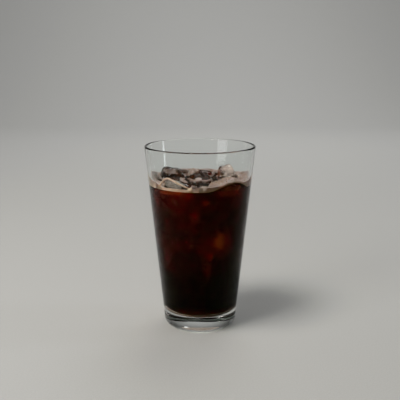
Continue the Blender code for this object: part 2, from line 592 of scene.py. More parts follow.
ice = {
    "overlap": 0.00015,      # how far drink and foam reach into each cube, so that no air lies between
    "ripple": 0.00022,
    "rippleSize": 0.0045,
    "smoothing": 2,
    "pressReach": 0.0024,    # faces this near the glass have melted to its form
    "pressSharpness": 1.6,
    "pressedGap": 0.0005,    # a film of coffee is left low down, and none above
    "pressedFrom": 0.1202,
    "pressedOver": 0.0015,
    "intoWall": 0.0001,
    "deeperFrom": 0.1165,    # below this the cube has melted back from the glass
    "deeperOver": 0.0045,
    "deeperBy": 0.0026,
    "throughWall": 0.0007,
}
sunkIce = {
    "roundness": 4.5,
    "wear": 0.0009,
    "wearScale": 1.5,
    "cuts": 5,
    "tilts": (-9, 9),        # degrees
    "leans": (-3, 9),
    "seed": 7,
    "cubes": {
        # level, azimuth in degrees, how much coffee lies between it and the glass, side
        "frontMiddleCube": (0.0945, -97, 0.0042, 0.0150),
        "leftUpperCube": (0.0975, 192, 0.0022, 0.0170),
        "rightUpperCube": (0.0980, -8, 0.0026, 0.0170),
        "amberCube": (0.0800, -55, 0.0014, 0.0205),
        "frontCube": (0.0760, -108, 0.0042, 0.0170),
        "rightCube": (0.0775, 16, 0.0030, 0.0200),
        "backCube": (0.0820, 116, 0.0024, 0.0205),
        "leftCube": (0.0770, 198, 0.0030, 0.0200),
        "lowFrontCube": (0.0565, -72, 0.0042, 0.0185),
        "lowLeftCube": (0.0575, -150, 0.0036, 0.0185),
        "lowBackCube": (0.0580, 60, 0.0024, 0.0190),
    },
}


def iceMeshFromNode(node):
    # the cube as the CAD has it, with its triangles joined to quads for smoothing
    bm = bmesh.new()
    bm.from_mesh(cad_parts[node].data)
    bm.transform(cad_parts[node].matrix_world)
    bmesh.ops.remove_doubles(bm, verts=bm.verts, dist=1e-6)
    bmesh.ops.join_triangles(bm, faces=bm.faces, angle_face_threshold=1.0, angle_shape_threshold=1.2)
    return bm


def sunkCubeMesh(level, azimuth, gap, side, draw):
    distance = innerWall(level) - gap - side / 2
    bm = bmesh.new()
    bmesh.ops.create_cube(bm, size=2.0)
    bmesh.ops.subdivide_edges(bm, edges=bm.edges, cuts=sunkIce["cuts"], use_grid_fill=True)
    power = sunkIce["roundness"]
    seed = Vector([draw.uniform(0, 9) for _ in range(3)])
    for vertex in bm.verts:
        reach = sum(abs(part) ** power for part in vertex.co) ** (1 / power)
        direction = vertex.co / reach
        wear = 1 + sunkIce["wear"] / (side / 2) * noise.noise(direction * sunkIce["wearScale"] + seed)
        vertex.co = direction * side / 2 * wear
    turn = Matrix.Rotation(math.radians(azimuth), 4, "Z")
    tilt = Matrix.Rotation(math.radians(draw.uniform(*sunkIce["tilts"])), 4, "X")
    lean = Matrix.Rotation(math.radians(draw.uniform(*sunkIce["leans"])), 4, "Y")
    place = Matrix.Translation((distance, 0, level))
    bm.transform(turn @ place @ tilt @ lean)
    return bm


def pressedToGlass(point):
    # holds a point of the ice back inside the glass, and draws what lies close against its wall
    wall = innerWall(point.z)
    reach = math.hypot(point.x, point.y)
    near = smoothStep((reach - wall + ice["pressReach"]) / ice["pressReach"] * ice["pressSharpness"])
    above = smoothStep((point.z - ice["pressedFrom"]) / ice["pressedOver"])
    below = smoothStep((ice["deeperFrom"] - point.z) / ice["deeperOver"])
    limit = wall - ice["pressedGap"] * (1 - above) + ice["intoWall"] * above - ice["deeperBy"] * below
    reach += near * (limit - reach) if limit > reach else limit - reach
    return Vector((point.x, point.y, 0)).normalized() * reach + Vector((0, 0, point.z))


def finishIce(name, bm, material):
    piece = pieceFrom(name, bm, material, sharpDegrees=180)
    smooth = piece.modifiers.new("smooth", "SUBSURF")
    smooth.levels = smooth.render_levels = ice["smoothing"]
    settled(piece)
    normals = [vertex.normal.copy() for vertex in piece.data.vertices]
    for vertex, normal in zip(piece.data.vertices, normals):
        vertex.co += normal * ice["ripple"] * noise.noise(vertex.co / ice["rippleSize"])
        vertex.co = pressedToGlass(vertex.co)
    return piece


def shrunkCopy(piece, inset, throughWall=0.0):
    # throughWall carries what lies against the glass on into it, so that a cut leaves no skin there
    copy = piece.copy()
    copy.data = piece.data.copy()
    normals = [vertex.normal.copy() for vertex in piece.data.vertices]
    for vertex, normal in zip(copy.data.vertices, normals):
        vertex.co -= normal * inset
        outward = Vector((vertex.co.x, vertex.co.y, 0))
        if throughWall and outward.length > innerWall(vertex.co.z) - ice["pressedGap"] / 2:
            vertex.co += outward.normalized() * throughWall
    return copy


def makeIce():
    material = meltingIce()
    pieces = []
    for node in sorted(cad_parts):
        if node.startswith("ice_"):
            name = node.replace("_", " ").title().replace(" ", "")
            piece = finishIce(name[0].lower() + name[1:], iceMeshFromNode(node), material)
            dress(piece, "clear_ice", node)
            pieces.append(piece)
    draw = random.Random(sunkIce["seed"])
    for name, (level, azimuth, gap, side) in sunkIce["cubes"].items():
        piece = finishIce(name, sunkCubeMesh(level, azimuth, gap, side, draw), material)
        dress(piece, "clear_ice")
        pieces.append(piece)
    return pieces


airHaze = {
    "specks": 60,
    "spread": 0.20,
    "reach": 0.34,           # no further from the cube's heart, as a share of its size
    "smallest": 0.00010,
    "largest": 0.00026,
    "clear": ("iceFrontLeft", "iceFrontRight"),   # these froze slowly, with hardly any air
    "seed": 23,
}


def makeAirHaze(icePieces):
    balls = []
    draw = random.Random(airHaze["seed"])
    for piece in icePieces:
        if piece.name in airHaze["clear"]:
            continue
        middle, size = middleAndSize(piece)
        for _ in range(airHaze["specks"]):
            offset = Vector([draw.gauss(0, airHaze["spread"]) for _ in range(3)]) * size / 2
            if offset.length < airHaze["reach"] * size:
                radius = draw.uniform(airHaze["smallest"], airHaze["largest"])
                balls.append((middle + offset, radius, 1.0, 1.0))
    piece = manyBalls("iceAirHaze", balls, trappedAir())
    dress(piece, "clear_ice")


def middleAndSize(piece):
    corners = [Vector(corner) for corner in piece.bound_box]
    return sum(corners, Vector()) / 8, (corners[6] - corners[0]).length / math.sqrt(3)


frost = {
    "perCube": 5,
    "smallest": 0.0022,
    "largest": 0.0052,
    "within": 0.40,          # share of the cube's size that they keep inside
    "leans": (0.6, 1.6),     # radians
    "flatness": (0.5, 1.0),
    "ragged": 0.35,
    "raggedScale": 1.3,
    "wave": 0.0007,
    "waveSize": 0.004,
    "rings": 6,
    "steps": 18,
    "seed": 41,
    "bright": [
        # cracks that show white, placed where a cube shows light as painted highlight and glow: middle,
        # azimuth and lift in degrees of the way they face, radius, flatness
        ((-0.0190, -0.0311, 0.1233), -121, 0, 0.0088, 0.40),
        ((-0.0188, -0.0308, 0.1230), -122, 0, 0.0080, 0.42),
        ((0.0244, -0.0291, 0.1203), -50, 0, 0.0085, 0.24),
        ((0.0240, -0.0286, 0.1196), -50, 0, 0.0075, 0.24),
        ((0.0142, -0.0304, 0.0785), -65, 0, 0.0030, 1.50),
        ((0.0235, 0.0065, 0.1286), -80, 70, 0.0046, 0.80),
        ((0.0226, 0.0070, 0.1276), -80, 60, 0.0052, 0.85),
        ((0.0250, 0.0055, 0.1252), -70, 30, 0.0040, 0.70),
    ],
}


def addVeil(bm, middle, turn, radius, stretch, seed):
    rings = []
    for ring in range(1, frost["rings"] + 1):
        line = []
        for step in range(frost["steps"]):
            angle = math.tau * step / frost["steps"]
            around = Vector((math.cos(angle), math.sin(angle), seed.x * 900))
            edge = 1 + frost["ragged"] * noise.noise(around * frost["raggedScale"])
            reach = radius * edge * ring / frost["rings"]
            flat = Vector((reach * math.cos(angle), reach * math.sin(angle) * stretch, 0))
            flat.z = frost["wave"] * noise.noise((flat + seed) / frost["waveSize"])
            line.append(bm.verts.new(middle + turn @ flat))
        rings.append(line)
    bm.faces.new(rings[0])
    for inner, outer in zip(rings, rings[1:]):
        for step in range(frost["steps"]):
            after = (step + 1) % frost["steps"]
            bm.faces.new((inner[step], outer[step], outer[after], inner[after]))


def makeFrostVeils(icePieces):
    # thin cracks through each cube that catch the light, and pale sheets placed as painted highlight and glow
    bm = bmesh.new()
    draw = random.Random(frost["seed"])
    for middle, azimuth, lift, radius, stretch in frost["bright"]:
        aside = Matrix.Rotation(math.radians(azimuth), 3, "Z")
        upright = Matrix.Rotation(math.radians(90 - lift), 3, "Y")
        turn = aside @ upright @ Matrix.Rotation(math.radians(90), 3, "Z")
        addVeil(bm, Vector(middle), turn, radius, stretch, Vector(middle))
    for piece in icePieces:
        middle, size = middleAndSize(piece)
        for _ in range(frost["perCube"]):
            radius = draw.uniform(frost["smallest"], frost["largest"])
            offset = Vector([draw.uniform(-1, 1) for _ in range(3)]) * (frost["within"] * size - radius)
            aside = Matrix.Rotation(draw.uniform(0, math.tau), 3, "Z")
            turn = aside @ Matrix.Rotation(draw.uniform(*frost["leans"]), 3, "X")
            addVeil(bm, middle + offset, turn, radius, draw.uniform(*frost["flatness"]), offset)
    piece = pieceFrom("iceFrostVeils", bm, frostVeil())
    dress(piece, "clear_ice")


# The coffee

drawnUp = {
    # coffee drawn up under the foam, between the glass and the front right cube: azimuth in degrees, rise
    "route": [
        (-82, 0.0), (-76, 0.0008), (-69, 0.0026), (-60, 0.0048), (-50, 0.0060),
        (-41, 0.0050), (-33, 0.0026), (-26, 0.0002), (-22, 0.0),
    ],
    "reach": 0.0045,
    "rings": 6,
}


def alongRoute(route, azimuth):
    if not route[0][0] < azimuth < route[-1][0]:
        return 0.0
    for (start, low), (end, high) in zip(route, route[1:]):
        if azimuth <= end:
            return low + (high - low) * (azimuth - start) / (end - start)


def riseAt(x, y):
    toWall = innerWall(espresso["level"]) - math.hypot(x, y)
    rise = alongRoute(drawnUp["route"], math.degrees(math.atan2(y, x)))
    return rise * smoothStep(1 - toWall / drawnUp["reach"])


haze = {
    # how deep it lies behind the glass at each height, from the bottom up
    "depths": [
        (0.018, 0.0095), (0.035, 0.0078), (0.055, 0.0056),
        (0.075, 0.0046), (0.100, 0.0041), (0.1183, 0.0036),
    ],
    "nearest": 0.0004,
    "sway": 0.0022,
    "swaySize": 0.0085,
    "curl": 0.0006,
    "curlSize": 0.0034,
    "edge": 1.35,            # how far each shallow place fades out, and how unevenly
    "edgeWobble": 0.35,
    "shallows": [
        # where it comes close to the glass: azimuth, height, half width, half height, depth, painted amber
        # glow
        (90, 0.1140, 0.0560, 0.0120, 0.0100, 0.0),
        (-66, 0.0730, 0.0150, 0.0150, 0.0024, 0.0),
        (-56, 0.0770, 0.0060, 0.0090, 0.0019, 0.0),
        (-65.0, 0.0790, 0.0050, 0.0080, 0.0006, 0.92),
        (-65.0, 0.0838, 0.0026, 0.0018, 0.0004, 1.00),
        (-75, 0.0660, 0.0028, 0.0032, 0.0011, 0.15),
        (-77.7, 0.0535, 0.0032, 0.0062, 0.0022, 0.0),
        (-81.8, 0.1097, 0.0036, 0.0032, 0.0013, 0.35),
        (-95, 0.1000, 0.0048, 0.0044, 0.0020, 0.0),
        (-153, 0.1090, 0.0048, 0.0070, 0.0022, 0.0),
        (-145, 0.0630, 0.0044, 0.0090, 0.0026, 0.0),
        (-130, 0.1168, 0.0150, 0.0020, 0.0007, 0.45),
        (-40, 0.1080, 0.0090, 0.0070, 0.0028, 0.0),
    ],
    "outOf": ("iceRightPeak", "iceBackLeft", "iceBack", "iceMiddle"),    # it would show red through these
    "rings": 100,
    "steps": 240,
}


def hazeDepth(azimuth, height):
    # its depth behind the glass and how much painted amber glow it gets
    depths = haze["depths"]
    for (low, first), (high, second) in zip(depths, depths[1:]):
        if height <= high or high == depths[-1][0]:
            depth = first + (second - first) * smoothStep((height - low) / (high - low))
            break
    around = Vector((math.cos(azimuth), math.sin(azimuth), 0)) * innerWall(height)
    around.z = height
    depth += haze["sway"] * noise.noise(around / haze["swaySize"])
    glow = 0.0
    for middle, level, halfWidth, halfHeight, shallow, shine in haze["shallows"]:
        turn = (azimuth - math.radians(middle) + math.pi) % math.tau - math.pi
        away = math.hypot(turn * innerWall(height) / halfWidth, (height - level) / halfHeight)
        near = smoothStep(haze["edge"] - away - haze["edgeWobble"] * noise.noise(around / haze["curlSize"]))
        depth += (shallow - depth) * near
        glow += (shine - glow) * near
    depth += haze["curl"] * noise.noise(around / haze["curlSize"])
    return max(depth, haze["nearest"]), glow


def makeHaze(icePieces):
    graph = bpy.context.evaluated_depsgraph_get()
    trees = [BVHTree.FromObject(piece, graph) for piece in icePieces if piece.name in haze["outOf"]]
    bm = bmesh.new()
    low, high = haze["depths"][0][0], haze["depths"][-1][0]
    rings = []
    glows = []
    for ring in range(haze["rings"] + 1):
        height = low + (high - low) * ring / haze["rings"]
        line = []
        for step in range(haze["steps"]):
            azimuth = math.tau * step / haze["steps"]
            depth, glow = hazeDepth(azimuth, height)
            reach = innerWall(height) - depth
            line.append(bm.verts.new((reach * math.cos(azimuth), reach * math.sin(azimuth), height)))
            glows.append(glow)
        rings.append(line)
    for first, second in zip(rings, rings[1:]):
        for step in range(haze["steps"]):
            after = (step + 1) % haze["steps"]
            middle = (first[step].co + second[after].co) / 2
            nearest = [tree.find_nearest(middle)[:2] for tree in trees]
            if all((middle - point).dot(normal) > 0 for point, normal in nearest):
                bm.faces.new((first[step], first[after], second[after], second[step]))
    piece = pieceFrom("espressoHaze", bm, suspendedFines(), sharpDegrees=180)
    setValues(piece.data, "glow", glows)
    dress(piece, "black_coffee")


glassBubbles = {
    "count": 60,
    "azimuths": (-156, -100),
    "levels": (0.058, 0.112),
    "smallest": 0.00010,
    "largest": 0.00026,
    "fineness": 3,           # the higher, the more of them are small
    "offWall": 1.6,          # of its radius, so that it just clears the glass
    "seed": 61,
}


def makeGlassBubbles():
    # fine bubbles that cling to the inside of the glass
    draw = random.Random(glassBubbles["seed"])
    spread = glassBubbles["largest"] - glassBubbles["smallest"]
    balls = []
    for _ in range(glassBubbles["count"]):
        azimuth = math.radians(draw.uniform(*glassBubbles["azimuths"]))
        level = draw.uniform(*glassBubbles["levels"])
        radius = glassBubbles["smallest"] + spread * draw.random() ** glassBubbles["fineness"]
        reach = innerWall(level) - glassBubbles["offWall"] * radius
        middle = Vector((reach * math.cos(azimuth), reach * math.sin(azimuth), level))
        balls.append((middle, radius, 1.0, 1.0))
    piece = manyBalls("espressoBubbles", balls, bpy.data.materials["trappedAir"])
    dress(piece, "black_coffee")


def makeEspresso(icePieces):
    # the drink a little way into the glass, so that no air lies between, with its top drawn up at the right
    reach = espresso["intoWall"]
    foot = innerFoot + reach
    corner = innerCorner(foot, tumbler["floorHeight"] - reach)
    level = espresso["level"]
    middle = (0.0, tumbler["floorHeight"] - reach)
    brim = (foot + innerSlope * level, level)
    outline = [middle] + heldStraight(middle, corner[0]) + corner + heldStraight(corner[-1], brim)
    rings = [brim[0] - drawnUp["reach"] * ring / drawnUp["rings"] for ring in range(drawnUp["rings"] + 1)]
    outline += [(radius, level) for radius in rings]
    bm = turned(outline + [(0.0, level)], espresso["steps"])
    for vertex in bm.verts:
        if vertex.co.z > level - espresso["touching"]:
            height = level + riseAt(vertex.co.x, vertex.co.y)
            spread = (foot + innerSlope * height) / (foot + innerSlope * level)
            atBrim = math.hypot(vertex.co.x, vertex.co.y) > brim[0] - espresso["touching"]
            place = vertex.co * (spread if atBrim else 1)
            vertex.co = (place.x, place.y, height)
    piece = pieceFrom("espresso", bm, dilutedEspresso())
    cutAway(piece, [shrunkCopy(cube, ice["overlap"]) for cube in icePieces])
    dress(piece, "black_coffee", "coffee")


# The crema

crema = {
    "intoWall": 0.00025,
    "sunk": 0.0002,          # how far its underside lies in the coffee
    "middle": 0.0020,
    "openShare": 0.35,       # how much of its thickness is left where it is open
    "atWall": 0.0044,
    "bankWidth": 0.0090,
    "bankSwell": 0.45,
    "swellSize": 0.011,
    "sideClimb": 0.0045,     # drawn up the glass at the left and right
    "sideWidth": 0.0040,
    "sideFocus": 12,
    "atIce": 0.0012,         # how much it creeps up each cube
    "iceCreep": 0.0020,
    "lumps": 0.0005,
    "lumpSize": 0.0063,
    "froth": 0.00022,
    "frothSize": 0.0015,
    "thinned": 0.6,          # how much thinner it is over drawn-up coffee
    "thinnedOver": 0.003,
    "rings": 84,
    "ringCrowding": 1.35,    # the rings lie closer towards the glass
    "steps": 330,
    "topFrom": 0.0005,       # this far over its underside a point counts as its top
    "onTop": 0.0002,         # this near a layer on ice a point counts as lying in it
    "wholeAtWall": 0.0008,
    "steepBelow": 0.75,      # of its normal's upward part
    "openBelow": 0.3,        # with less cover than this the coffee's film shows
}
lace = {
    "ringFront": 0.0050,     # the foam is whole this far in from the glass, by side
    "ringSide": 0.0085,
    "ringBack": 0.0026,
    "ringBend": 1.5,
    "ringEdge": 0.0022,
    "wobble": 0.0030,
    "wobblesPerMetre": 190,
    "grain": 0.3,
    "grainsPerMetre": 420,
    "outline": 0.0006,       # a thin line of foam round each cube
    "outlineEdge": 0.0005,
    "outlineBreaks": 0.9,
    "breaksPerMetre": 240,
    "strandSize": 0.0085,
    "strandWidth": 0.034,
    "strandEdge": 0.05,
    "strandGrain": 0.25,
    "strandCover": 0.9,
    "patchSize": 0.0080,
    "patchShare": 0.04,
    "patchEdge": 0.22,
    "poolFrom": 0.65,        # of a dark pool's size, where foam begins to close over it
    "poolEdge": 0.4,
    "poolWobble": 0.55,
}
foamOnIce = {
    # how much of each cube's top the foam covers
    "iceFrontRight": 1.0,
    "iceBack": 0.45,
}
wetOnIce = {
    # these are wet with coffee all over: how much of that foam covers, and how readily bubbles stand on it
    "iceFrontLeft": (0.28, 0.8),
    "iceMiddle": (0.25, 0.06),
}
layerOnIce = {
    "thickness": 0.0009,
    "grain": 0.0080,
    "fineGrain": 0.2,
    "fineGrainsPerMetre": 400,
    "reach": 0.0042,         # how high over the foam it still lies on a cube
    "wetReach": 0.0110,
    "edge": 0.16,
}
darkPools = [
    # where large bubbles stand on black coffee right up to the glass: middle x, y, half width, half depth
    (-0.0045, -0.0330, 0.0075, 0.0075),
    (0.0065, -0.0200, 0.0060, 0.0080),
    (-0.0310, 0.0030, 0.0060, 0.0080),
    (-0.0110, -0.0130, 0.0130, 0.0120),
    (0.0120, -0.0100, 0.0080, 0.0070),
    (0.0000, -0.0130, 0.0150, 0.0070),
    (-0.0130, 0.0000, 0.0060, 0.0060),
    (0.0120, 0.0060, 0.0040, 0.0080),
    (-0.0080, 0.0150, 0.0060, 0.0050),
]
bareCube = {
    # the foam is only a low film before the cube that lies on the glass: azimuths in degrees, top, depth
    "azimuths": (-140, -101),
    "edge": 8.0,
    "top": 0.1206,
    "reach": 0.0026,
    "reachEdge": 0.001,
    "litDepth": 0.0012,      # how far in from the glass the painted light, for what comes through the foam there, reaches
    "litEdge": 4,            # degrees
    "brim": (-178, -20),     # along here the foam's lower edge is painted pale, as if lit through
    "brimWidth": 0.0009,
    "brimEdge": 0.0006,
    "brimRagged": 0.6,
    "ragsPerMetre": 300,
    "brimLight": 0.8,
    "brimFade": 8,           # degrees
}


def foamCover(x, y, toIce):
    # 1 where the foam is whole, 0 where it is open down to the coffee
    place = Vector((x, y, 0.0))
    distance = place.length
    towardsBack = y / max(distance, 0.001)
    side = (x / max(distance, 0.001)) ** 2
    width = lace["ringBack"] if towardsBack > 0 else lace["ringFront"]
    width += (lace["ringSide"] - width) * side ** lace["ringBend"]
    wobble = noise.noise(place * lace["wobblesPerMetre"])
    fromRing = distance + lace["wobble"] * wobble - (innerWall(espresso["level"]) - width)
    ring = smoothStep(fromRing / lace["ringEdge"] + 0.5)
    grain = lace["grain"] * noise.noise(Vector((x, y, 0.9)) * lace["grainsPerMetre"])
    patches = noise.noise(Vector((x, y, 0.2)) / lace["patchSize"]) + grain
    patches = smoothStep((patches + lace["patchShare"] - 0.5) / lace["patchEdge"] + 0.5)
    strands = abs(noise.noise(Vector((x, y, 0.5)) / lace["strandSize"]) + lace["strandGrain"] * grain)
    strands = smoothStep((lace["strandWidth"] - strands) / lace["strandEdge"] + 0.5)
    broken = lace["outline"] * (1 + lace["outlineBreaks"] * noise.noise(place * lace["breaksPerMetre"]))
    outline = smoothStep((broken - toIce) / lace["outlineEdge"] + 0.5)
    cover = max(ring, patches, lace["strandCover"] * strands)
    for poolX, poolY, halfWidth, halfDepth in darkPools:
        away = math.hypot((x - poolX) / halfWidth, (y - poolY) / halfDepth)
        closing = away + lace["poolWobble"] * wobble - lace["poolFrom"]
        cover = min(cover, smoothStep(closing / lace["poolEdge"]))
    return max(cover, outline)


def foamRidesAt(x, y, namedTrees):
    # the height of a layer that lies on ice here, how much of it is foam, and how readily bubbles stand on it
    for piece, tree in namedTrees:
        wet = piece.name in wetOnIce
        share, bubbly = wetOnIce[piece.name] if wet else (foamOnIce.get(piece.name, 0), 1.0)
        hit = share and tree.ray_cast(Vector((x, y, glassHeight)), Vector((0, 0, -1)))[0]
        reach = layerOnIce["wetReach"] if wet else layerOnIce["reach"]
        if hit and hit.z < espresso["level"] + crema["atWall"] + reach:
            fine = noise.noise(Vector((x, y, 0.1)) * layerOnIce["fineGrainsPerMetre"])
            mask = noise.noise(Vector((x, y, 0.4)) / layerOnIce["grain"]) + layerOnIce["fineGrain"] * fine
            whole = smoothStep((share - 0.5 - mask) / layerOnIce["edge"] + 0.5)
            return hit.z + layerOnIce["thickness"] * (0.5 if wet else 1.5 * whole - 0.5), whole, bubbly
    return 0.0, 0.0, 1.0


def loweredBeforeCube(x, y, wall, height):
    azimuth = math.degrees(math.atan2(y, x))
    start, end = bareCube["azimuths"]
    inside = smoothStep(min(azimuth - start, end - azimuth) / bareCube["edge"] + 0.5)
    near = smoothStep((bareCube["reach"] - wall + math.hypot(x, y)) / bareCube["reachEdge"] + 0.5)
    return height + min(bareCube["top"] - height, 0) * inside * near


def foamThickness(x, y, wall, toIce):
    toWall = wall - math.hypot(x, y)
    share = crema["openShare"] + (1 - crema["openShare"]) * foamCover(x, y, toIce)
    bank = smoothStep(1 - toWall / crema["bankWidth"]) * share
    bank *= 1 + crema["bankSwell"] * noise.noise(Vector((x, y, 0.0)) / crema["swellSize"])
    climb = crema["sideClimb"] * abs(x / wall) ** crema["sideFocus"]
    climb *= smoothStep(1 - toWall / crema["sideWidth"])
    creep = crema["atIce"] * smoothStep(1 - toIce / crema["iceCreep"])
    lumps = crema["lumps"] * noise.noise(Vector((x, y, 0.3)) / crema["lumpSize"])
    froth = crema["froth"] * noise.noise(Vector((x, y, 0.7)) / crema["frothSize"])
    middle = crema["middle"] * share
    return middle + (crema["atWall"] - crema["middle"]) * bank + climb + creep + lumps + froth


def nearestIce(iceTrees, x, y):
    point = Vector((x, y, espresso["level"] + crema["middle"]))
    return min(tree.find_nearest(point)[3] for tree in iceTrees)


def coverToPaint(point, bottom, wall, namedTrees):
    # foamCover as the material reads it: 0 open coffee, 1 foam, more where a pale cream is painted for light
    # coming through a film of it
    x, y, z = point
    reach = math.hypot(x, y)
    rides, whole, _ = foamRidesAt(x, y, namedTrees)
    inLayer = rides > z - crema["onTop"]
    onTop = z > bottom + riseAt(x, y) + crema["topFrom"] and reach < wall - crema["wholeAtWall"]
    iceTrees = [tree for _, tree in namedTrees]
    coverAndPaintedLight = 1.0
    if onTop:
        coverAndPaintedLight = whole if inLayer else foamCover(x, y, nearestIce(iceTrees, x, y))
    # painted light: near the glass before the cube, and along the foam's lower edge, the cover goes above 1
    # for a pale cream
    if reach > innerWall(z) - bareCube["litDepth"]:
        azimuth = math.degrees(math.atan2(y, x))
        start, end = bareCube["azimuths"]
        edge = bareCube["litEdge"]
        coverAndPaintedLight += smoothStep(min(azimuth - start + edge, end + edge - azimuth) / edge)
        start, end = bareCube["brim"]
        ragged = 1 + bareCube["brimRagged"] * noise.noise(point * bareCube["ragsPerMetre"])
        width = bareCube["brimWidth"] * ragged
        lit = smoothStep((bottom + riseAt(x, y) + width - z) / bareCube["brimEdge"] + 0.5)
        fade = smoothStep(min(azimuth - start, end - azimuth) / bareCube["brimFade"])
        coverAndPaintedLight += bareCube["brimLight"] * lit * fade
    return coverAndPaintedLight


def makeCrema(icePieces, namedTrees):
    iceTrees = [tree for _, tree in namedTrees]
    bottom = espresso["level"] - crema["sunk"]
    wall = innerWall(bottom) + crema["intoWall"]
    bm = bmesh.new()
    rings = []               # rings of the top, from the middle out to the glass
    for ring in range(1, crema["rings"] + 1):
        radius = wall * (1 - (1 - ring / crema["rings"]) ** crema["ringCrowding"])
        line = []
        for step in range(crema["steps"]):
            angle = math.tau * step / crema["steps"]
            x, y = radius * math.cos(angle), radius * math.sin(angle)
            toIce = nearestIce(iceTrees, x, y)
            rise = riseAt(x, y)
            thinning = 1 - crema["thinned"] * min(rise / crema["thinnedOver"], 1)
            height = bottom + rise + foamThickness(x, y, wall, toIce) * thinning
            height = max(height, foamRidesAt(x, y, namedTrees)[0])
            height = loweredBeforeCube(x, y, wall, height)
            if ring == crema["rings"]:
                spread = (innerWall(height) + crema["intoWall"]) / wall
                x, y = x * spread, y * spread
            line.append(bm.verts.new((x, y, height)))
        rings.append(line)
    middle = bm.verts.new((0, 0, bottom + foamThickness(0, 0, wall, 1.0)))
    under = bm.verts.new((0, 0, bottom))
    lower = []               # rings of the underside, which rises with the drawn-up coffee
    for ring in range(drawnUp["rings"] + 1):
        line = []
        for step in range(crema["steps"]):
            angle = math.tau * step / crema["steps"]
            radius = wall - drawnUp["reach"] * (1 - ring / drawnUp["rings"])
            height = bottom + riseAt(radius * math.cos(angle), radius * math.sin(angle))
            if ring == drawnUp["rings"]:
                radius = innerWall(height) + crema["intoWall"]
            line.append(bm.verts.new((radius * math.cos(angle), radius * math.sin(angle), height)))
        lower.append(line)
    for step in range(crema["steps"]):
        after = (step + 1) % crema["steps"]
        bm.faces.new((middle, rings[0][step], rings[0][after]))
        bm.faces.new((under, lower[0][after], lower[0][step]))
        bm.faces.new((rings[-1][step], lower[-1][step], lower[-1][after], rings[-1][after]))
        for inner, outer in zip(rings, rings[1:]):
            bm.faces.new((inner[step], outer[step], outer[after], inner[after]))
        for inner, outer in zip(lower, lower[1:]):
            bm.faces.new((inner[after], outer[after], outer[step], inner[step]))
    piece = pieceFrom("cremaFoam", bm, wetCrema())
    cutAway(piece, [shrunkCopy(cube, ice["overlap"], ice["throughWall"]) for cube in icePieces])
    covers = [coverToPaint(vertex.co, bottom, wall, namedTrees) for vertex in piece.data.vertices]
    setValues(piece.data, "foamCover", covers)
    piece.data.materials.append(coffeeFilm())
    for face in piece.data.polygons:
        toIce = min(tree.find_nearest(face.center)[3] for tree in iceTrees)
        reach = math.hypot(face.center.x, face.center.y)
        steep = abs(face.normal.z) < crema["steepBelow"] and toIce < 2 * ice["overlap"]
        # painted shade: the foam's underside takes the dark film, as it lies in shade; steep faces against
        # ice take it as coffee drawn up between
        filmOrPaintedShade = face.normal.z < -0.5 or steep and reach < innerWall(face.center.z) - hair
        bare = max(covers[corner] for corner in face.vertices) < crema["openBelow"]
        if filmOrPaintedShade or bare:
            face.material_index = 1
    dress(piece, "beige_crema", "crema")
    return piece


seam = {
    # the line of foam along the top of the cube that lies on the glass: azimuth in degrees, height
    "route": [
        (-140, 0.1212), (-136, 0.1243), (-131, 0.1272), (-126, 0.1280),
        (-119, 0.1264), (-110, 0.1238), (-102, 0.1216),
    ],
    "halfWidth": 0.00078,
    "startWider": 1.45,
    "endNarrower": 0.75,
    "swell": 0.70,
    "swellsPerDegree": 0.16,
    "ripple": 0.40,
    "ripplesPerDegree": 0.7,
    "depth": 0.0012,
    "cover": 2.0,            # painted light: set above 1, so it is painted the pale cream of light coming through it
    "steps": 90,
    "sides": 10,
}


def throughFour(a, b, c, d, part):
    # a smooth line through four neighbouring values, from the second to the third
    bend = (2 * a - 5 * b + 4 * c - d) * part ** 2
    twist = (3 * b - a - 3 * c + d) * part ** 3
    return 0.5 * (2 * b + (c - a) * part + bend + twist)


def makeSeam():
    route = seam["route"]
    bm = bmesh.new()
    rings = []
    for step in range(seam["steps"] + 1):
        along = step / seam["steps"] * (len(route) - 1)
        first = min(int(along), len(route) - 2)
        around = [route[min(max(first + k, 0), len(route) - 1)] for k in (-1, 0, 1, 2)]
        azimuth, height = (throughFour(*values, along - first) for values in zip(*around))
        swell = 1 + seam["swell"] * noise.noise(Vector((azimuth * seam["swellsPerDegree"], 0, 0)))
        swell += seam["ripple"] * noise.noise(Vector((azimuth * seam["ripplesPerDegree"], 3, 0)))
        swell *= seam["startWider"] + (seam["endNarrower"] - seam["startWider"]) * step / seam["steps"]
        ring = []
        for side in range(seam["sides"]):
            turn = math.tau * side / seam["sides"]
            z = height + seam["halfWidth"] * swell * math.sin(turn)
            reach = innerWall(z) + crema["intoWall"] - seam["depth"] / 2 * (1 - math.cos(turn))
            angle = math.radians(azimuth)
            ring.append(bm.verts.new((reach * math.cos(angle), reach * math.sin(angle), z)))
        rings.append(ring)
    for first, second in zip(rings, rings[1:]):
        for side in range(seam["sides"]):
            after = (side + 1) % seam["sides"]
            bm.faces.new((first[side], first[after], second[after], second[side]))
    bm.faces.new(rings[0])
    bm.faces.new(rings[-1])
    piece = pieceFrom("cremaSeam", bm, bpy.data.materials["wetCrema"])
    setValues(piece.data, "foamCover", [seam["cover"]] * len(piece.data.vertices))
    dress(piece, "beige_crema")


bubbles = {
    "tries": 12000,
    "smallest": 0.00030,
    "largest": 0.0016,
    "fineness": 2.2,         # the higher, the more of them are small
    "finerOnFoam": 0.65,
    "missingOnFoam": 0.88,
    "finerOnIce": 0.7,
    "crowding": 0.86,        # of two radii, how near two of them come
    "fromWall": 0.0004,
    "fromIce": 0.8,
    "flatness": 0.78,
    "sunk": 0.30,
    "whitish": 0.07,
    "whitishLargest": 0.00045,
    "seed": 5,
}


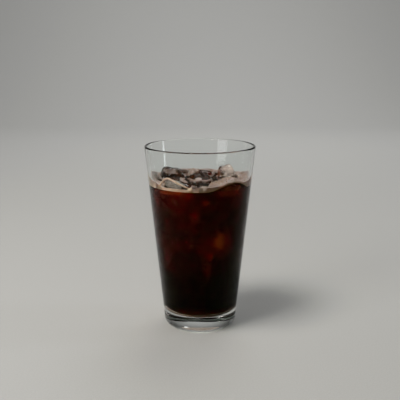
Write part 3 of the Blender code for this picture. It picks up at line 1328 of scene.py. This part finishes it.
def makeBubbles(cremaPiece, namedTrees):
    iceTrees = [tree for _, tree in namedTrees]
    foamTree = BVHTree.FromObject(cremaPiece, bpy.context.evaluated_depsgraph_get())
    wall = innerWall(espresso["level"]) - bubbles["fromWall"]
    spread = bubbles["largest"] - bubbles["smallest"]
    draw = random.Random(bubbles["seed"])
    placed = []
    for _ in range(bubbles["tries"]):
        angle = draw.uniform(0, math.tau)
        distance = wall * math.sqrt(draw.random())
        x, y = distance * math.cos(angle), distance * math.sin(angle)
        cover = foamCover(x, y, nearestIce(iceTrees, x, y))
        radius = spread * draw.random() ** bubbles["fineness"] * (1 - bubbles["finerOnFoam"] * cover)
        radius += bubbles["smallest"]
        if draw.random() < bubbles["missingOnFoam"] * cover or distance + radius > wall:
            continue
        closest = bubbles["crowding"]
        if any((x - px) ** 2 + (y - py) ** 2 < (closest * (radius + pr)) ** 2 for px, py, _, pr, _ in placed):
            continue
        point = foamTree.ray_cast(Vector((x, y, glassHeight)), Vector((0, 0, -1)))[0]
        if point is None:
            continue
        rides, whole, bubbly = foamRidesAt(x, y, namedTrees)
        onIce = rides > point.z - crema["onTop"]
        toIce = min(tree.find_nearest(point)[3] for tree in iceTrees)
        if not onIce and toIce < bubbles["fromIce"] * radius:
            continue
        if onIce:
            if draw.random() > bubbly:
                continue
            cover, radius = whole, bubbles["finerOnIce"] * radius
        # partly painted highlight: some bubbles are made small and pale like foam bubbles, and stand in for
        # white glints on the dark coffee
        if draw.random() < bubbles["whitish"]:
            cover, radius = 1.0, min(radius, bubbles["whitishLargest"])
        if any(tree.ray_cast(point + Vector((0, 0, hair)), Vector((0, 0, 1)))[0] for tree in iceTrees):
            continue
        placed.append((x, y, point.z, radius, cover))
    balls = []
    for x, y, z, radius, cover in placed:
        lift = radius * bubbles["flatness"] * (0.5 - bubbles["sunk"])
        balls.append((Vector((x, y, z + lift)), radius, bubbles["flatness"], cover))
    piece = manyBalls("cremaBubbles", balls, bubbleSkin())
    dress(piece, "beige_crema")
    print("bubbles on the crema:", len(placed))


# The studio

camera = {"place": (0.0, -0.480, 0.2135), "downDegrees": 12.85, "lens": 54.45}
lamps = {
    # place, what it looks at, width, height, watts, colour
    "overheadKey": ((-0.45, -0.30, 1.05), (0.0, 0.0, 0.06), 0.38, 0.38, 9.0, "#FFFBF4"),
    "leftStrip": ((-0.80, -0.60, 0.30), (0.0, 0.0, 0.09), 0.42, 0.80, 4.2, "#FFFFFF"),
    "rightStrip": ((0.75, 0.05, 0.30), (0.0, 0.0, 0.09), 0.08, 0.60, 1.0, "#F6FAFF"),
    "backFill": ((0.25, 0.95, 1.30), (0.0, 0.9, 0.0), 1.20, 0.80, 8.0, "#FFFFFF"),
    "wallWash": ((0.00, 1.10, 1.55), (0.0, 2.3, 0.5), 2.40, 0.50, 16.0, "#FFFFFF"),
}
room = {
    "light": "#E6E6E6",
    "strength": 0.22,
    "halfWidth": 3.0,
    "front": -3.0,
    "back": 1.5,
    "bend": 1.1,
    "bendSteps": 24,
    "top": 2.8,
}
lightPaths = {"bounces": 32, "throughClear": 48}     # glass, drink and ice lie behind each other


def makeStudio():
    # a sheet of paper that lies flat and bends up behind the glass
    bm = bmesh.new()
    angles = [math.pi / 2 * step / room["bendSteps"] for step in range(room["bendSteps"] + 1)]
    bends = [(room["back"] + room["bend"] * math.sin(a), room["bend"] * (1 - math.cos(a))) for a in angles]
    line = [(room["front"], 0.0)] + bends + [(room["back"] + room["bend"], room["top"])]
    left = [bm.verts.new((-room["halfWidth"], y, z)) for y, z in line]
    right = [bm.verts.new((room["halfWidth"], y, z)) for y, z in line]
    for step in range(len(line) - 1):
        bm.faces.new((left[step], right[step], right[step + 1], left[step + 1]))
    floor = pieceFrom("paperFloor", bm, mattePaper())
    world = bpy.data.worlds.new("softRoom")
    bpy.context.scene.world = world
    world.use_nodes = True
    background = world.node_tree.nodes["Background"]
    background.inputs["Color"].default_value = linear(room["light"])
    background.inputs["Strength"].default_value = room["strength"]
    for name, (place, target, width, height, watts, colour) in lamps.items():
        lamp = bpy.data.lights.new(name, "AREA")
        lamp.shape = "RECTANGLE"
        lamp.size = width
        lamp.size_y = height
        lamp.energy = watts
        lamp.color = linear(colour)[:3]
        holder = bpy.data.objects.new(name, lamp)
        holder.location = place
        holder.rotation_euler = (Vector(target) - Vector(place)).to_track_quat("-Z", "Y").to_euler()
        bpy.context.scene.collection.objects.link(holder)


def makeCamera():
    data = bpy.data.cameras.new("camera")
    data.lens = camera["lens"]
    data.sensor_width = 36.0
    data.clip_start = 0.01
    data.clip_end = 50.0
    holder = bpy.data.objects.new("camera", data)
    holder.location = camera["place"]
    holder.rotation_euler = (math.radians(90 - camera["downDegrees"]), 0, 0)
    bpy.context.scene.collection.objects.link(holder)
    bpy.context.scene.camera = holder


makeTumbler()
print("tumbler turned")
icePieces = makeIce()
print("ice cubes:", len(icePieces))
makeAirHaze(icePieces)
makeFrostVeils(icePieces)
makeEspresso(icePieces)
makeHaze(icePieces)
makeGlassBubbles()
print("espresso poured")
graph = bpy.context.evaluated_depsgraph_get()
floating = [piece for piece in icePieces if piece.bound_box[1][2] > espresso["level"]]
namedTrees = [(piece, BVHTree.FromObject(piece, graph)) for piece in floating]
cremaPiece = makeCrema(icePieces, namedTrees)
print("crema laid, faces:", len(cremaPiece.data.polygons))
makeSeam()
makeBubbles(cremaPiece, namedTrees)
makeStudio()
makeCamera()
print("studio lit, lamps:", len(lamps))
bpy.context.scene.cycles.max_bounces = lightPaths["bounces"]
bpy.context.scene.cycles.transmission_bounces = lightPaths["bounces"]
bpy.context.scene.cycles.transparent_max_bounces = lightPaths["throughClear"]
bpy.context.scene.view_settings.view_transform = "Khronos PBR Neutral"
